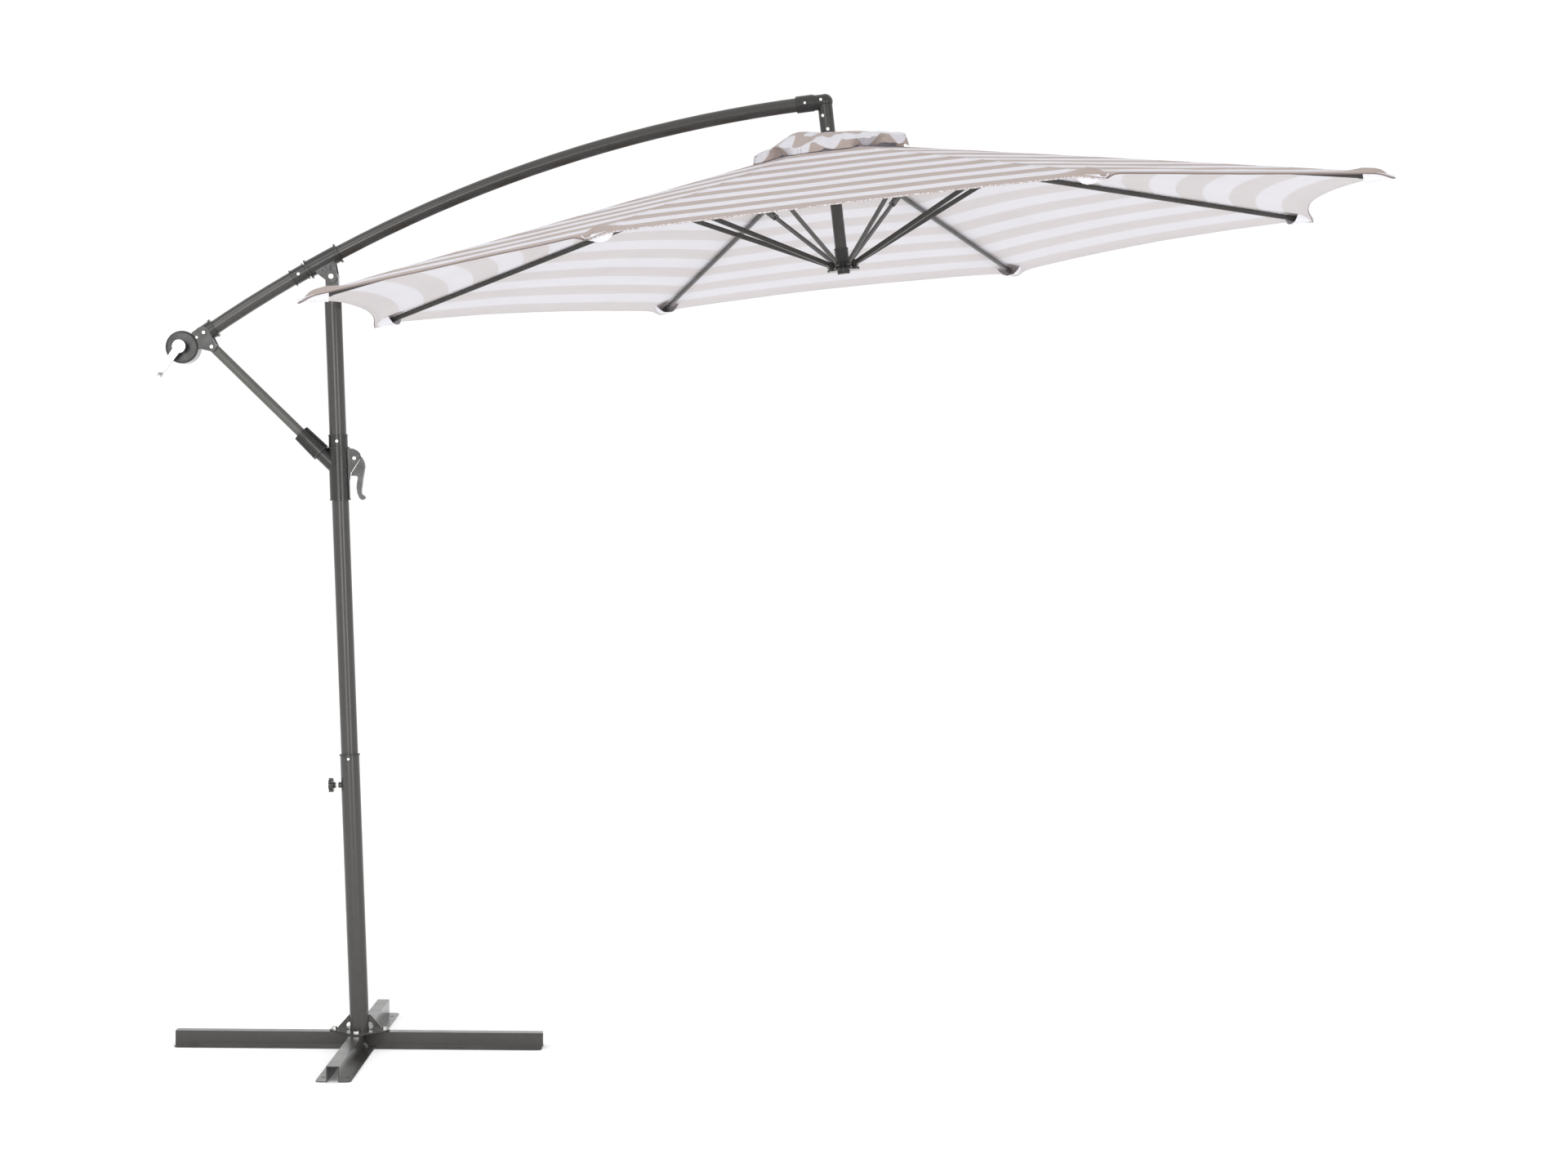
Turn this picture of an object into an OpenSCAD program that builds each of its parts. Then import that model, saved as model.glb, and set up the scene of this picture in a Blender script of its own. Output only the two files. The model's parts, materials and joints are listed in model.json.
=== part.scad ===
// Cantilever parasol: cross base, two-part leaning mast, curved arm that
// slides through a pivoting sleeve, crank unit, brace, brake carriage and an
// eight-rib striped canopy with a vent cap.
// Origin: middle of the cross base on the ground. +X runs towards the
// canopy, +Z is up. Millimetres.

/* [Base cross] */
// Length of each pair of base arms, tip to tip
base_span = 1000; // [800:10:1400]
// Height of the hat-shaped channels
channel_h = 42; // [30:1:60]
// Width of the channel's flat top
channel_top_w = 34; // [24:1:60]
// Width over the two foot flanges
channel_foot_w = 92; // [70:1:140]
// Sheet thickness of the channels
channel_t = 2.5; // [1.5:0.5:4]
// Distance of the anchor holes from the arm tips
anchor_inset = 55; // [20:5:80]
// Radius of the anchor holes
anchor_hole_r = 5; // [3:0.5:7]
// Distance of the plate bolts from the middle
plate_bolt_r = 69; // [55:1:90]

/* [Mast] */
// Backward lean of the mast, away from the canopy
mast_lean = 2.4; // [0:0.1:6]
// Length of the lower tube
lower_tube_l = 751; // [400:1:1100]
// Outer radius of the lower tube
lower_tube_r = 26; // [20:0.5:35]
// Outer radius of the upper tube
upper_tube_r = 23; // [18:0.5:30]
// Height of the arm pivot along the mast, from the base plate
pivot_h = 2053; // [1500:1:2400]
// Height of the clamping knob along the mast
knob_h = 671; // [300:1:700]

/* [Carriage and brace] */
// Height of the carriage's bottom edge along the mast
carriage_h = 1447; // [900:1:1700]
// Height of the carriage
carriage_l = 178; // [120:1:240]
// Slope of the brace above the horizontal
brace_slope = 43.9; // [30:0.1:60]
// Outer radius of the brace tube
brace_r = 13; // [8:0.2:16]
// Length of the brace from the mast axis to its top pin
brace_l = 476.7; // [300:0.1:700]

/* [Arm] */
// Radius of the arm's curve
arm_curve_r = 3742; // [2000:1:6000]
// Outer radius of the arm tube
arm_r = 19; // [15:0.5:25]
// Slope of the arm above its pivot
arm_slope = 29.2; // [15:0.1:45]
// Distance from the arm's axis down to its pivot
pivot_drop = 48.6; // [35:0.1:70]
// Slope of the arm's tail end
tail_slope = 34.9; // [30:0.1:40]
// Slope of the arm's front end
front_slope = 7.9; // [2:0.1:15]

/* [Canopy] */
// Radius of the canopy from pole to fabric corner
canopy_r = 1500; // [1000:10:2000]
// Tilt of the canopy and its pole
canopy_tilt = 7; // [0:0.5:15]
// Turn of the canopy round its pole
canopy_spin = -1; // [-22.5:0.5:22.5]
// Slope of the ribs below the canopy plane
rib_slope = 11.5; // [8:0.5:30]
// Distance of the rib tips from the pole axis
rib_tip_r = 1440; // [900:10:1900]
// Depth of the inward curve of each rim edge
rim_scallop = 66; // [20:1:120]
// Radius of the open vent under the cap
vent_r = 150; // [80:5:250]
// Radius of the vent cap's corners
cap_r = 228; // [150:2:350]
// Thickness of the fabric solids
fabric_t = 1.2; // [0.8:0.2:5]

/* [Rib mechanism] */
// Distance of the rib root pins from the pole axis
crown_pin_r = 45; // [35:1:70]
// Distance of the strut pins from the pole axis
strut_pin_r = 500; // [400:5:650]
// Distance of the strut feet from the pole axis
foot_pin_r = 35; // [30:1:50]
// Depth of the strut feet below the canopy's peak
foot_depth = 331; // [250:1:450]
// Depth of a rib's section
rib_h = 14; // [12:1:26]
// Width of a rib's section
rib_w = 9; // [8:1:18]

/* [Hidden] */
$fn = 64;
steel_grey = [0.37, 0.36, 0.345];
plastic_dark = [0.22, 0.215, 0.21];
zinc = [0.78, 0.78, 0.76];
chrome = [0.85, 0.85, 0.86];
fabric_white = [0.88, 0.87, 0.9];

// Base
plate_t = 4;
plate_top = channel_h + plate_t;
plate_reach = 82;
plate_corner_r = 12;
bolt_r = 4;
bolt_hole_r = 4.5;
gusset_h = 41;
gusset_reach = 60.5;
gusset_tip_h = 5;
gusset_hole_r = 9.5;
flange_corner_r = 14;

// Mast
tube_wall = 1.8;
mast_top_h = pivot_h - 34;
sliding_gap = 0.5;
foot_cap_h = 2.5;

// World position of a point on the mast's plane: x across, h along the mast
function on_mast(x, h) = [
  x * cos(mast_lean) - h * sin(mast_lean), 0,
  plate_top + x * sin(mast_lean) + h * cos(mast_lean)
];
arm_pivot = on_mast(0, pivot_h);
arm_centre = [
  arm_pivot[0] + (arm_curve_r - pivot_drop) * sin(arm_slope), 0,
  arm_pivot[2] - (arm_curve_r - pivot_drop) * cos(arm_slope)
];
function on_arm(slope, below = 0) = [
  arm_centre[0] - (arm_curve_r - below) * sin(slope), 0,
  arm_centre[2] + (arm_curve_r - below) * cos(slope)
];

// Carriage: the brace axis meets the mast axis at brace_root
brace_root_h = 1528.5;
brace_root = on_mast(0, brace_root_h);
brace_pin = [
  brace_root[0] - brace_l * cos(brace_slope), 0,
  brace_root[2] + brace_l * sin(brace_slope)
];
carriage_r = 27.3;
boot_start = 67;
boot_l = 77;
boot_r = 24;
boot_end_r = 21.5;
boot_bore_r = 15;
neck_r = 20.3;
spigot_r = 17.8;
lever_pin_at = [-22, 0, 1606];

// Crank
crank_axis = [-488, 0, 1902];
case_r = 44;
case_y = [-13, 27];
cover_r = case_r + 0.2;
cover_t = 15;
cover_round = 6;
crank_throw = 92;
crank_angle = 234.3;
shaft_r = 6;

// Canopy frame: origin at the peak of the ribs' top surface
canopy_peak = [1259.8, 0, 2473.7];
rib_drop = 13;
crown_pin_z = -(crown_pin_r * tan(rib_slope) + rib_drop / cos(rib_slope) - 1);
pole_r = 16;
split_z = 71.8;
fitting_r = 20;
fitting_end_z = 26;
swing_pin = [1241, 0, 2545];
elbow_corner = [1247, 0, 2585];
elbow_screw = [1235, 0, 2588];
collar_depth = 287;
rib_l = (rib_tip_r - crown_pin_r) / cos(rib_slope);
strut_pin_x = (strut_pin_r - crown_pin_r) / cos(rib_slope);
strut_pin_z = -2;
strut_head = [
  crown_pin_r + strut_pin_x * cos(rib_slope) + strut_pin_z * sin(rib_slope),
  crown_pin_z - strut_pin_x * sin(rib_slope) + strut_pin_z * cos(rib_slope)
];
strut_run = strut_head[0] - foot_pin_r;
strut_rise = strut_head[1] + foot_depth;
strut_l = sqrt(strut_run * strut_run + strut_rise * strut_rise);
strut_slope = atan(strut_rise / strut_run);
strut_w = rib_w;
strut_h = 13;
strut_bolt_r = 2.5;
rib_lift = 1.5;
fork_l = 60;
knuckle_r = 10;

// ---------------------------------------------------------------- helpers

// A round tube along Z
module tube(r, wall, h) {
  difference() {
    cylinder(r = r, h = h);
    translate([0, 0, -1]) cylinder(r = r - wall, h = h + 2);
  }
}

// A round bar along Y, centred on y
module bar_y(r, y0, y1) {
  translate([0, y1, 0]) rotate([90, 0, 0]) cylinder(r = r, h = y1 - y0);
}

// A plate in the XZ plane between y0 and y1
module plate_y(y0, y1) {
  translate([0, y1, 0]) rotate([90, 0, 0]) linear_extrude(height = y1 - y0) children();
}

// Mast frame: origin on the base plate, Z along the mast
module on_mast_frame() {
  translate([0, 0, plate_top]) rotate([0, -mast_lean, 0]) children();
}

// Brace frame: origin where the brace meets the mast axis, Z along the brace
module on_brace_frame() {
  translate(brace_root) rotate([0, brace_slope - 90, 0]) children();
}

// A bar bent to the arm's curve, from one slope to a smaller one
module arm_bar(r, slope_a, slope_b) {
  translate(arm_centre)
    rotate([90, 0, 0])
      rotate([0, 0, 90 + slope_b])
        rotate_extrude(angle = slope_a - slope_b, $fn = 1440)
          translate([arm_curve_r, 0]) circle(r = r, $fn = 48);
}

// Canopy frame: origin at the peak, Z along the pole, turned with the ribs
module on_canopy_frame() {
  translate(canopy_peak) rotate([0, -canopy_tilt, 0]) rotate([0, 0, canopy_spin]) children();
}

// Rib frame: origin at the root pin, X along the rib
module on_rib_frame(k) {
  on_canopy_frame()
    rotate([0, 0, 45 * k - 22.5])
      translate([crown_pin_r, 0, crown_pin_z])
        rotate([0, rib_slope, 0]) children();
}

// A hollow bar of rectangular section with chamfered edges along X
module box_bar(w, h, wall, x0, x1, chamfer = 2.5) {
  translate([x0, 0, 0])
    rotate([90, 0, 90])
      linear_extrude(height = x1 - x0)
        difference() {
          chamfered(w, h, chamfer);
          if (wall > 0) chamfered(w - 2 * wall, h - 2 * wall, chamfer * 0.6);
        }
}

module chamfered(w, h, c) {
  polygon([
    [-w / 2 + c, -h / 2], [w / 2 - c, -h / 2], [w / 2, -h / 2 + c], [w / 2, h / 2 - c],
    [w / 2 - c, h / 2], [-w / 2 + c, h / 2], [-w / 2, h / 2 - c], [-w / 2, -h / 2 + c]
  ]);
}

// A slot along Y from the origin: half-width r, distance l between its ends' centres
module slot_2d(r, l) {
  translate([-r, 0]) square([2 * r, l]);
  circle(r = r, $fn = 32);
  translate([0, l]) circle(r = r, $fn = 32);
}

// A rivet or bolt head facing -Y
module head_front(r, y, t) {
  bar_y(r, y - t, y);
}

// ---------------------------------------------------------------- base

// Hat profile: flat top, upright walls, feet turned outward
module hat_profile() {
  t = channel_t;
  a = channel_top_w / 2;
  f = channel_foot_w / 2;
  h = channel_h;
  polygon([
    [-f, 0], [-a + t, 0], [-a + t, h - t], [a - t, h - t], [a - t, 0], [f, 0],
    [f, t], [a, t], [a, h], [-a, h], [-a, t], [-f, t]
  ]);
}

// Cutter that rounds an outer flange corner at the arm tip
module corner_cut(sx) {
  f = channel_foot_w / 2;
  translate([base_span / 2 - flange_corner_r, sx * (f - flange_corner_r), -1])
    difference() {
      translate([0, sx > 0 ? 0 : -flange_corner_r - 1, 0])
        cube([flange_corner_r + 1, flange_corner_r + 1, channel_t + 3]);
      translate([0, 0, -1]) cylinder(r = flange_corner_r, h = channel_t + 5);
    }
}

// A channel along X from x0 to the tip
module channel_arm(x0) {
  difference() {
    translate([x0, 0, 0])
      rotate([90, 0, 90])
        linear_extrude(height = base_span / 2 - x0) hat_profile();
    for (side = [-1, 1]) {
      corner_cut(side);
      translate([base_span / 2 - anchor_inset, side * anchor_y(), -1])
        cylinder(r = anchor_hole_r, h = channel_t + 2);
    }
    translate([plate_bolt_r, 0, channel_h - channel_t - 1])
      cylinder(r = bolt_hole_r, h = channel_t + 2);
  }
}

function anchor_y() = (channel_top_w + channel_foot_w) / 4;

module base_long() {
  color(steel_grey)
    for (turn = [90, 270])
      rotate([0, 0, turn]) channel_arm(turn == 90 ? -0.01 : 0);
}

// A side arm: its walls clear the long channel's feet and end in a round corner
module side_arm() {
  gap = 0.7;
  foot_clear = channel_foot_w / 2 + gap;
  top_clear = channel_top_w / 2 + gap;
  lift = channel_t + gap;
  corner = 13;
  difference() {
    channel_arm(top_clear);
    translate([0, -channel_foot_w, -1])
      cube([foot_clear, 2 * channel_foot_w, lift + 1]);
    difference() {
      translate([0, -channel_foot_w, lift - 1])
        cube([top_clear + corner, 2 * channel_foot_w, corner + 1]);
      translate([top_clear + corner, 0, lift + corner]) bar_y(corner, -channel_foot_w - 1, channel_foot_w + 1);
    }
  }
}

module base_left() {
  color(steel_grey) rotate([0, 0, 180]) side_arm();
}

module base_right() {
  color(steel_grey) side_arm();
}

module gusset() {
  difference() {
    plate_y(-2, 2)
      polygon([
        [lower_tube_r - 6, 0], [gusset_reach, 0], [gusset_reach, gusset_tip_h],
        [lower_tube_r + 3, gusset_h], [lower_tube_r - 6, gusset_h]
      ]);
    translate([lower_tube_r + 1, 0, gusset_hole_r + 1.8]) bar_y(gusset_hole_r, -3, 3);
  }
}

module base_plate() {
  color(steel_grey) {
    difference() {
      union() {
        translate([0, 0, channel_h])
          linear_extrude(height = plate_t)
            hull()
              for (a = [0:90:270])
                rotate([0, 0, a]) translate([plate_reach - plate_corner_r, 0]) circle(r = plate_corner_r, $fn = 32);
        difference() {
          translate([0, 0, plate_top - 0.5])
            for (a = [0, 180]) rotate([0, 0, a]) gusset();
          on_mast_frame() translate([0, 0, -20]) cylinder(r = lower_tube_r + 0.1, h = gusset_h + 40);
        }
      }
      for (a = [0:90:270])
        rotate([0, 0, a]) translate([plate_bolt_r, 0, channel_h - 1]) cylinder(r = bolt_hole_r, h = plate_t + 2);
    }
  }
}

// Bolt with washer and nut, head up, on the plate
module plate_bolt() {
  translate([0, 0, plate_top]) cylinder(r = 7.9, h = 1.5);
  translate([0, 0, plate_top + 1]) cylinder(r = 7.5, h = 6, $fn = 6);
  translate([0, 0, channel_h - 14]) cylinder(r = bolt_r, h = plate_t + 16);
  translate([0, 0, channel_h - channel_t - 6.5]) cylinder(r = 7.5, h = 6.5, $fn = 6);
}

module base_fasteners() {
  color(zinc) {
    for (a = [0:90:270]) rotate([0, 0, a]) translate([plate_bolt_r, 0, 0]) plate_bolt();
    on_mast_frame()
      translate([0, 0, lower_tube_l - 8])
        head_front(3.2, -lower_tube_r - 2.9, 1.6);
  }
}

module lower_tube() {
  color(steel_grey) {
    difference() {
      on_mast_frame()
        difference() {
          union() {
            translate([0, 0, -8]) cylinder(r = lower_tube_r, h = lower_tube_l + 8);
            translate([-lower_tube_r + 1, 0, knob_h]) rotate([0, -90, 0]) cylinder(r = 8, h = 8);
          }
          translate([0, 0, -9]) cylinder(r = lower_tube_r - tube_wall, h = lower_tube_l + 10);
          translate([-lower_tube_r + 6, 0, knob_h]) rotate([0, -90, 0]) cylinder(r = 4.2, h = 20);
        }
      translate([0, 0, plate_top - 50]) cylinder(r = 60, h = 50);
    }
  }
}

// Plastic bush: lip on the tube's end, liner between the tubes, riveted tongue
module lower_bush() {
  liner_out = lower_tube_r - tube_wall - 0.15;
  liner_in = upper_tube_r + 0.35;
  color(plastic_dark)
    on_mast_frame() {
      difference() {
        union() {
          translate([0, 0, lower_tube_l]) cylinder(r = lower_tube_r + 2.2, h = 4);
          translate([0, 0, lower_tube_l - 50]) cylinder(r = liner_out, h = 52);
          difference() {
            union() {
              translate([-5.5, -lower_tube_r - 2.8, lower_tube_l - 8]) cube([11, 10, 11]);
              translate([0, 0, lower_tube_l - 8]) bar_y(5.5, -lower_tube_r - 2.8, -lower_tube_r + 7);
            }
            translate([0, 0, lower_tube_l - 20]) cylinder(r = lower_tube_r + 0.15, h = 20);
          }
        }
        translate([0, 0, lower_tube_l - 60]) cylinder(r = liner_in, h = 80);
      }
    }
}

// Star knob on its screw
module clamp_knob() {
  lobes = 7;
  color(plastic_dark)
    on_mast_frame()
      translate([-47, 0, knob_h])
        rotate([0, -90, 0])
          difference() {
            union() {
              cylinder(r = 15, h = 12);
              for (i = [0:lobes - 1])
                rotate([0, 0, i * 360 / lobes]) translate([15, 0, 0]) cylinder(r = 4.6, h = 12, $fn = 24);
              translate([0, 0, -6]) cylinder(r = 8, h = 7);
            }
            translate([0, 0, -8]) cylinder(r = 3.6, h = 15);
          }
}

module clamp_screw() {
  color(zinc)
    on_mast_frame()
      translate([-upper_tube_r - 0.6, 0, knob_h])
        rotate([0, -90, 0]) cylinder(r = 3.5, h = 30);
}

// ---------------------------------------------------------------- mast

module upper_mast() {
  color(steel_grey)
    on_mast_frame()
      translate([0, 0, foot_cap_h + 4]) tube(upper_tube_r, tube_wall, mast_top_h - foot_cap_h - 4);
}

// Plastic plug that closes the foot of the upper tube
module mast_foot() {
  color(plastic_dark)
    on_mast_frame() {
      translate([0, 0, foot_cap_h]) cylinder(r = upper_tube_r, h = 4);
      translate([0, 0, foot_cap_h + 3.9]) cylinder(r = upper_tube_r - tube_wall - 0.1, h = 24);
    }
}

// Head casting: plug, rim and a thick tongue that carries the arm pivot
module mast_head() {
  tongue = 12;
  color(plastic_dark)
    on_mast_frame()
      difference() {
        union() {
          translate([0, 0, mast_top_h - 40]) cylinder(r = upper_tube_r - tube_wall - 0.1, h = 41);
          translate([0, 0, mast_top_h + 0.1]) cylinder(r = upper_tube_r + 1.8, h = 8);
          translate([0, 0, pivot_h]) bar_y(17, -tongue, tongue);
          translate([-17, -tongue, mast_top_h + 4]) cube([34, 2 * tongue, pivot_h - mast_top_h - 4]);
        }
        translate([0, 0, pivot_h]) bar_y(5.1, -tongue - 1, tongue + 1);
      }
}

// Pivot bolt of the arm sleeve with its washers
module sleeve_pin() {
  color(zinc)
    translate(arm_pivot) {
      bar_y(5, -21, 21);
      bar_y(6.5, -22.5, -19.3);
      bar_y(6.5, 19.3, 22.5);
    }
}

// ---------------------------------------------------------------- carriage

module carriage() {
  collar_h = 36;
  body_h = carriage_l - collar_h;
  mid = 94;
  color(plastic_dark) {
    difference() {
      union() {
        on_mast_frame()
          translate([0, 0, carriage_h]) {
            cylinder(r = carriage_r, h = body_h);
            cylinder(r = carriage_r + 1.5, h = 3.5);
            translate([0, 0, mid]) cylinder(r = carriage_r + 0.9, h = 4);
            translate([0, 0, body_h - 2]) cylinder(r = carriage_r + 3, h = 4);
            translate([0, 0, body_h]) cylinder(r = upper_tube_r + 2.7, h = collar_h);
            translate([0, 0, carriage_l - 3]) cylinder(r = upper_tube_r + 3.8, h = 3);
            for (a = [-14, 16])
              rotate([0, 0, a - 90]) translate([carriage_r - 1, -1.3, mid]) cube([2.8, 2.6, body_h - mid]);
          }
        on_brace_frame() {
          cylinder(r = neck_r, h = boot_start - 0.4);
          cylinder(r = spigot_r, h = boot_start + 12);
        }
        lever_cheeks();
      }
      on_mast_frame() translate([0, 0, carriage_h - 1]) cylinder(r = upper_tube_r + sliding_gap, h = carriage_l + 2);
      on_brace_frame() translate([0, 0, boot_start - 10]) cylinder(r = boot_bore_r, h = 40);
      translate(lever_pin_at) bar_y(3.1, -20, 20);
    }
  }
}

// Two cheeks that carry the brake lever
module lever_cheeks() {
  inner = 6.2;
  outer = 10;
  for (side = [-1, 1])
    translate(lever_pin_at)
      plate_y(side > 0 ? inner : -outer, side > 0 ? outer : -inner)
        polygon([
          [-27, 28.7], [-5, 26.2], [5, 21.3], [12.4, 14.4], [15.3, 5.7], [13.6, 0.7],
          [-12.4, -40.6], [-13.6, -61], [-26, -62.4]
        ]);
}

// Ribbed boot on the brace socket
module brace_boot() {
  flutes = 18;
  boot_taper = atan((boot_r - boot_end_r) / boot_l);
  color(plastic_dark)
    difference() {
      on_brace_frame()
        translate([0, 0, boot_start])
          difference() {
            union() {
              cylinder(r1 = boot_r, r2 = boot_end_r, h = boot_l);
              cylinder(r = boot_r + 1.6, h = 5);
              for (i = [0:flutes - 1])
                rotate([0, 0, i * 360 / flutes])
                  translate([boot_r - 1, -1.6, 1])
                    rotate([0, -boot_taper, 0]) cube([2.5, 3.2, boot_l - 1]);
            }
            translate([0, 0, -1]) cylinder(r = boot_bore_r, h = boot_l + 2);
            translate([0, 0, -1]) cylinder(r = spigot_r + 0.1, h = 13.2);
          }
      on_mast_frame() translate([0, 0, carriage_h]) cylinder(r = carriage_r + 3.4, h = carriage_l);
    }
}

// Lever pin with its heads, and the collar's rivet
module carriage_pins() {
  color(zinc) {
    translate(lever_pin_at) {
      bar_y(3, -11, 11);
      bar_y(4.4, -12, -10.1);
      bar_y(4.4, 10.1, 12);
    }
    on_mast_frame()
      translate([0, 0, carriage_h + carriage_l - 18]) head_front(3.6, -upper_tube_r - 2.8, 1.6);
  }
}

// Curved brake lever: narrow hub between the cheeks, wide finger grip outside
module brake_lever() {
  near_r = 33;
  color(plastic_dark)
    translate(lever_pin_at)
      difference() {
        union() {
          bar_y(9.5, -5.8, 5.8);
          plate_y(-5.8, 5.8) lever_outline();
          difference() {
            plate_y(-9.5, 9.5) lever_outline();
            bar_y(near_r, -11, 11);
          }
        }
        bar_y(3.15, -20, 20);
      }
}

module lever_outline() {
  polygon([
    [3, 8], [15.3, 6.9], [21, 0.7], [26.7, -10.4], [28.5, -22.8], [26, -37.6], [23.5, -52.5],
    [21.5, -69.8], [19.3, -87], [19.8, -95.8], [24.8, -100.7], [29.7, -103.2], [30.4, -108.2],
    [26, -112.6], [19.8, -112.6], [13.6, -106.9], [8.7, -94.5], [6.2, -79.7], [7.9, -62.4],
    [9.9, -52.5], [6.2, -47.8], [-9, -47.8], [-6.2, -38.5], [15, -2.5], [6, -4]
  ]);
}

// ---------------------------------------------------------------- arm

// Pivoting sleeve: two flanges and a webbed lug with twin cheeks
module arm_sleeve() {
  half = 0.73;
  flange = 0.06;
  inner = 12.6;
  outer = 18.5;
  pocket = 3.5;
  lug_r = 17;
  color(plastic_dark)
    difference() {
      union() {
        arm_bar(23.5, arm_slope + half, arm_slope - half);
        arm_bar(28, arm_slope + half, arm_slope + half - flange);
        arm_bar(28, arm_slope - half + flange, arm_slope - half);
        for (side = [-1, 1])
          translate(arm_pivot)
            plate_y(side > 0 ? inner : -outer, side > 0 ? outer : -inner)
              hull() {
                circle(r = lug_r, $fn = 32);
                rotate(arm_slope) translate([-31, 28]) square([58, 8]);
              }
        for (side = [-1, 1])
          translate(arm_pivot) bar_y(9, side > 0 ? outer - 1 : -outer - 0.8, side > 0 ? outer + 0.8 : -outer + 1);
      }
      arm_bar(arm_r + 0.6, arm_slope + 2, arm_slope - 2);
      translate(arm_pivot) {
        bar_y(5.1, -30, 30);
        for (side = [-1, 1])
          plate_y(side > 0 ? outer - pocket : -outer - 1, side > 0 ? outer + 1 : -outer + pocket)
            for (a = [-26, 0, 26])
              rotate(arm_slope - a) translate([0, lug_r + 0.5]) slot_2d(2.4, 11);
      }
    }
}

// Stop ring clamped on the arm behind the sleeve
module stop_ring() {
  from = 30.66;
  to = 30.02;
  lip = 0.04;
  color(plastic_dark)
    difference() {
      union() {
        arm_bar(21.3, from, to);
        arm_bar(24, from, from - lip);
        arm_bar(24, to + lip, to);
      }
      arm_bar(arm_r + 0.05, from + 1, to - 1);
    }
}

module arm_tube() {
  color(steel_grey)
    difference() {
      arm_bar(arm_r, tail_slope, front_slope);
      arm_bar(arm_r - 1.6, tail_slope + 1, front_slope - 1);
    }
}

// Elbow casting: collar on the arm, rounded corner, short leg down to the split
module elbow() {
  leg_r = 20;
  color(plastic_dark)
    difference() {
      union() {
        arm_bar(23, 8.4, 7.67);
        arm_bar(21.2, 8, front_slope - 0.3);
        translate(elbow_corner) rotate([0, -90 - front_slope + 0.4, 0]) cylinder(r = 20.9, h = 52);
        translate(elbow_corner) sphere(r = 21.4);
        on_canopy_frame() translate([0, 0, split_z + 0.3]) cylinder(r = leg_r, h = 42);
      }
      arm_bar(arm_r + 0.05, 9, front_slope - 0.02);
      translate(swing_pin) {
        bar_y(9, -6.6, 6.6);
        bar_y(3.6, -30, 30);
      }
    }
}

// Fitting on the pole's top, hinged to the elbow by a tongue
module pole_fitting() {
  tongue = 6;
  color(plastic_dark)
    difference() {
      union() {
        difference() {
          on_canopy_frame() translate([0, 0, fitting_end_z]) cylinder(r = fitting_r, h = split_z - fitting_end_z - 0.4);
          translate(swing_pin)
            rotate([0, -canopy_tilt - 9, 0]) translate([-40, -30, -0.6]) cube([40, 60, 20]);
        }
        translate(swing_pin) bar_y(8, -tongue, tongue);
      }
      translate(swing_pin) bar_y(3.1, -30, 30);
      on_canopy_frame() translate([0, 0, fitting_end_z - 1]) cylinder(r = pole_r + 0.05, h = 26);
    }
}

module pole_bolt() {
  color(zinc)
    on_canopy_frame() {
      translate([0, 0, 35.5]) head_front(4.5, -fitting_r - 0.1, 2.5);
      translate([0, 0, 35.5]) bar_y(4.5, fitting_r + 0.1, fitting_r + 2.6);
    }
}

// Heads of the rivets and screws on the arm's castings, and the two hinge pins
module arm_fasteners() {
  color(zinc) {
    translate(on_arm(30.34)) head_front(3.6, -21.4, 2);
    translate(on_arm(8.05)) head_front(3.6, -23.1, 2);
    translate(elbow_screw) head_front(4, -21.5, 2);
    translate(bracket_bolt) head_front(4.2, -bracket_y[1] - 0.1, 2.2);
    translate(bracket_screw) head_front(3, -bracket_y[1] - 0.1, 1.6);
    translate(swing_pin) {
      bar_y(3, -19.5, 19.5);
      bar_y(4.2, -21.5, -19.4);
      bar_y(4.2, 19.4, 21.5);
    }
    translate(brace_pin) {
      bar_y(3.5, -bracket_y[1] - 1, bracket_y[1] + 1);
      bar_y(4.4, -bracket_y[1] - 2.2, -bracket_y[1] - 0.1);
      bar_y(4.4, bracket_y[1] + 0.1, bracket_y[1] + 2.2);
    }
  }
}

// ---------------------------------------------------------------- crank unit

bracket_y = [12.2, 24.5];
bracket_bolt = [-429, 0, 1942];
bracket_screw = [-447.4, 0, 1928.6];
socket_from = 34.5;
socket_to = 35.4;

// Bracket: socket on the arm's tail, twin ears for the brace, web to the case
module crank_bracket() {
  color(plastic_dark)
    difference() {
      union() {
        arm_bar(24, socket_to, socket_from);
        arm_bar(27, socket_from + 0.08, socket_from);
        for (side = [-1, 1])
          plate_y(side > 0 ? bracket_y[0] : -bracket_y[1], side > 0 ? bracket_y[1] : -bracket_y[0])
            hull() {
              translate([brace_pin[0], brace_pin[2]]) circle(r = 12.5, $fn = 32);
              translate([-433, 1938]) circle(r = 20, $fn = 32);
              translate([-449, 1921]) circle(r = 20, $fn = 32);
            }
      }
      arm_bar(arm_r + 0.05, socket_to + 1, socket_from - 1);
      translate(brace_pin) bar_y(3.6, -40, 40);
      translate(crank_axis) bar_y(case_r + 0.3, -60, 60);
      translate(brace_pin) rotate([0, brace_slope, 0]) translate([-16, -bracket_y[0], -14]) cube([60, 2 * bracket_y[0], 28]);
    }
}

// Drum case, open to the front
module crank_case() {
  wall = 2.5;
  color(chrome)
    translate(crank_axis)
      difference() {
        bar_y(case_r, case_y[0], case_y[1]);
        bar_y(case_r - wall, case_y[0] - 1, case_y[1] - wall);
      }
}

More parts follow.
